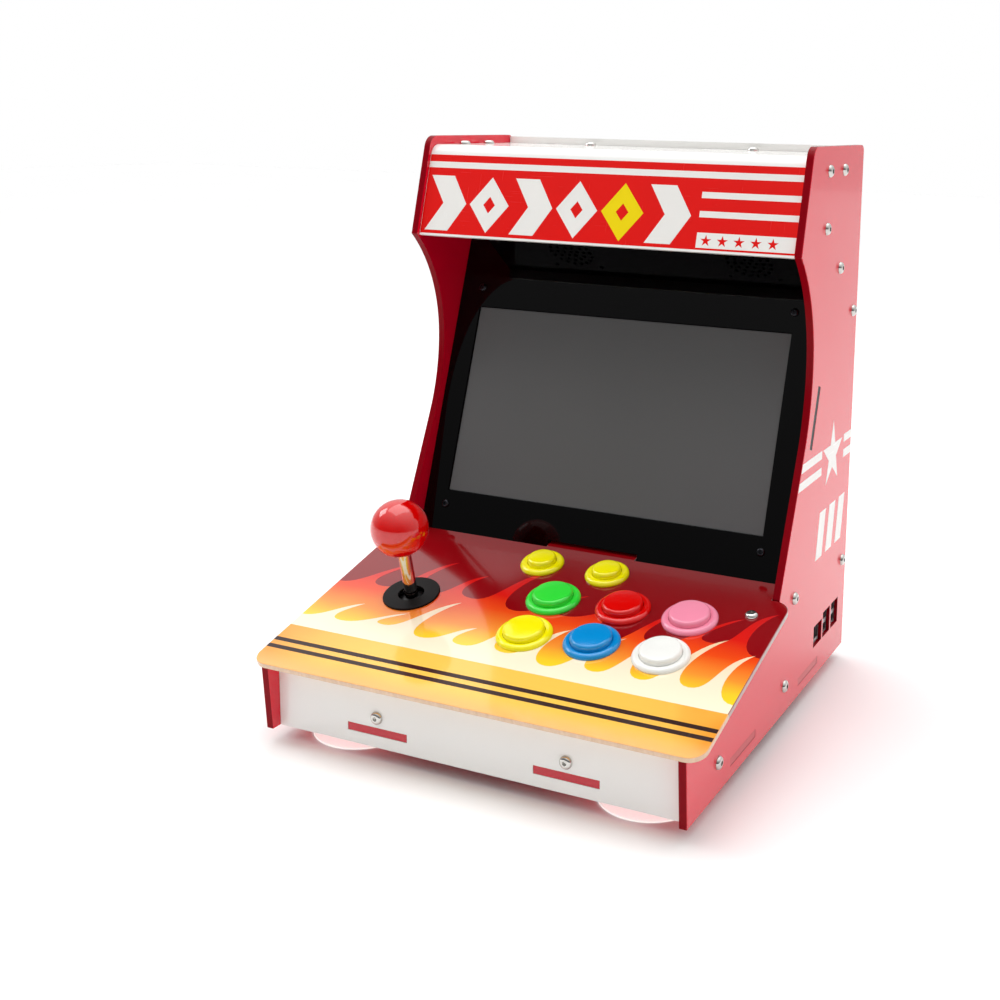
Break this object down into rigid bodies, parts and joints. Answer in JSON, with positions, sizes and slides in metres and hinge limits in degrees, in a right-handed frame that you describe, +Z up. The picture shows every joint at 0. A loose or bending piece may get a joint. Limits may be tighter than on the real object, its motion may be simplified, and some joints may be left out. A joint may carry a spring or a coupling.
{
  "type": "bartop arcade cabinet",
  "caption": "Tabletop arcade cabinet of red and white acrylic sheets with a screen, a ball-top joystick, sprung push buttons and suction feet.",
  "frame": {"origin": "on the table, under the middle of the cabinet's outline", "axes": "+X to the player's right, +Y from the front to the back, +Z up"},
  "size_m": [0.2812, 0.2818, 0.348],
  "materials": {
    "red_acrylic": "gloss",
    "white_acrylic": "gloss",
    "black_acrylic": "gloss",
    "printed_acrylic": "gloss",
    "screen_glass": "gloss",
    "sheet_metal": "satin",
    "chrome_steel": "polished",
    "black_steel": "satin",
    "aluminium_angle": "satin",
    "brass": "satin",
    "circuit_green": "satin",
    "black_plastic": "matte",
    "clear_rubber": "satin",
    "cable_sheath": "matte",
    "button_green": "gloss",
    "button_red": "gloss",
    "button_pink": "gloss",
    "button_yellow": "gloss",
    "button_blue": "gloss",
    "button_white": "gloss"
  },
  "bodies": {
    "cabinet": {"back_panel": "white_acrylic", "bezel_screws": "black_steel", "board_screws": "black_steel", "board_standoffs": "brass", "bottom_panel": "red_acrylic", "button_housing_blue": "button_blue", "button_housing_green": "button_green", "button_housing_pink": "button_pink", "button_housing_red": "button_red", "button_housing_white": "button_white", "button_housing_yellow": "button_yellow", "case_screws": "chrome_steel", "ceiling_panel": "black_acrylic", "computer_board": "circuit_green", "control_encoder_board": "circuit_green", "control_harness": "cable_sheath", "control_panel": "printed_acrylic", "corner_brackets": "aluminium_angle", "display_cable": "cable_sheath", "display_driver_board": "circuit_green", "dust_washer": "black_plastic", "front_panel": "white_acrylic", "joystick_housing": "black_plastic", "joystick_plate": "sheet_metal", "joystick_switch_board": "circuit_green", "lcd_glass": "screen_glass", "lcd_tray": "sheet_metal", "marquee_panel": "white_acrylic", "menu_button_housings": "button_yellow", "microswitches": "black_plastic", "network_socket": "sheet_metal", "power_cable": "cable_sheath", "power_inlet": "black_plastic", "restrictor_gate": "black_plastic", "rocker_frame": "black_plastic", "screen_bezel": "black_acrylic", "screen_mount": "black_acrylic", "side_panel_left": "red_acrylic", "side_panel_right": "red_acrylic", "speaker_cable": "cable_sheath", "speakers": "black_plastic", "suction_feet": "clear_rubber", "threaded_studs": "chrome_steel", "usb_sockets": "sheet_metal"},
    "gimbal": {"joystick_gimbal": "black_plastic"},
    "stick": {"ball_top": "button_red", "joystick_shaft": "chrome_steel", "joystick_clip": "chrome_steel", "joystick_spring": "chrome_steel", "joystick_actuator": "black_plastic", "joystick_cover": "black_plastic"},
    "rocker": {"rocker_button": "black_plastic"},
    "button_blue": {"button_plunger_blue": "button_blue"},
    "button_green": {"button_plunger_green": "button_green"},
    "button_pink": {"button_plunger_pink": "button_pink"},
    "button_red": {"button_plunger_red": "button_red"},
    "button_white": {"button_plunger_white": "button_white"},
    "button_yellow": {"button_plunger_yellow": "button_yellow"},
    "menu_button_left": {"menu_button_plunger_left": "button_yellow"},
    "menu_button_right": {"menu_button_plunger_right": "button_yellow"}
  },
  "joints": [
    {"name": "button_blue_press", "type": "slide", "parent": "cabinet", "child": "button_blue", "axis": [0, 0.2487, -0.9686], "range_m": [0, 0.0032], "stiffness_N_per_m": 260, "springref_m": -0.002},
    {"name": "button_green_press", "type": "slide", "parent": "cabinet", "child": "button_green", "axis": [0, 0.2487, -0.9686], "range_m": [0, 0.0032], "stiffness_N_per_m": 260, "springref_m": -0.002},
    {"name": "button_pink_press", "type": "slide", "parent": "cabinet", "child": "button_pink", "axis": [0, 0.2487, -0.9686], "range_m": [0, 0.0032], "stiffness_N_per_m": 260, "springref_m": -0.002},
    {"name": "button_red_press", "type": "slide", "parent": "cabinet", "child": "button_red", "axis": [0, 0.2487, -0.9686], "range_m": [0, 0.0032], "stiffness_N_per_m": 260, "springref_m": -0.002},
    {"name": "button_white_press", "type": "slide", "parent": "cabinet", "child": "button_white", "axis": [0, 0.2487, -0.9686], "range_m": [0, 0.0032], "stiffness_N_per_m": 260, "springref_m": -0.002},
    {"name": "button_yellow_press", "type": "slide", "parent": "cabinet", "child": "button_yellow", "axis": [0, 0.2487, -0.9686], "range_m": [0, 0.0032], "stiffness_N_per_m": 260, "springref_m": -0.002},
    {"name": "menu_button_left_press", "type": "slide", "parent": "cabinet", "child": "menu_button_left", "axis": [0, 0.2487, -0.9686], "range_m": [0, 0.0027], "stiffness_N_per_m": 260, "springref_m": -0.002},
    {"name": "menu_button_right_press", "type": "slide", "parent": "cabinet", "child": "menu_button_right", "axis": [0, 0.2487, -0.9686], "range_m": [0, 0.0027], "stiffness_N_per_m": 260, "springref_m": -0.002},
    {"name": "stick_forward_back", "type": "hinge", "parent": "cabinet", "child": "gimbal", "pos_m": [-0.086, -0.0534, 0.05696], "axis": [1, 0, 0], "range_deg": [-9, 9], "stiffness_Nm_per_rad": 0.6},
    {"name": "stick_left_right", "type": "hinge", "parent": "gimbal", "child": "stick", "pos_m": [-0.086, -0.0534, 0.05696], "axis": [0, 0.9686, 0.2487], "range_deg": [-9, 9], "stiffness_Nm_per_rad": 0.6},
    {"name": "power_rocker", "type": "hinge", "parent": "cabinet", "child": "rocker", "pos_m": [-0.062, 0.13535, 0.053], "axis": [0, 0, 1], "range_deg": [0, 16]}
  ]
}
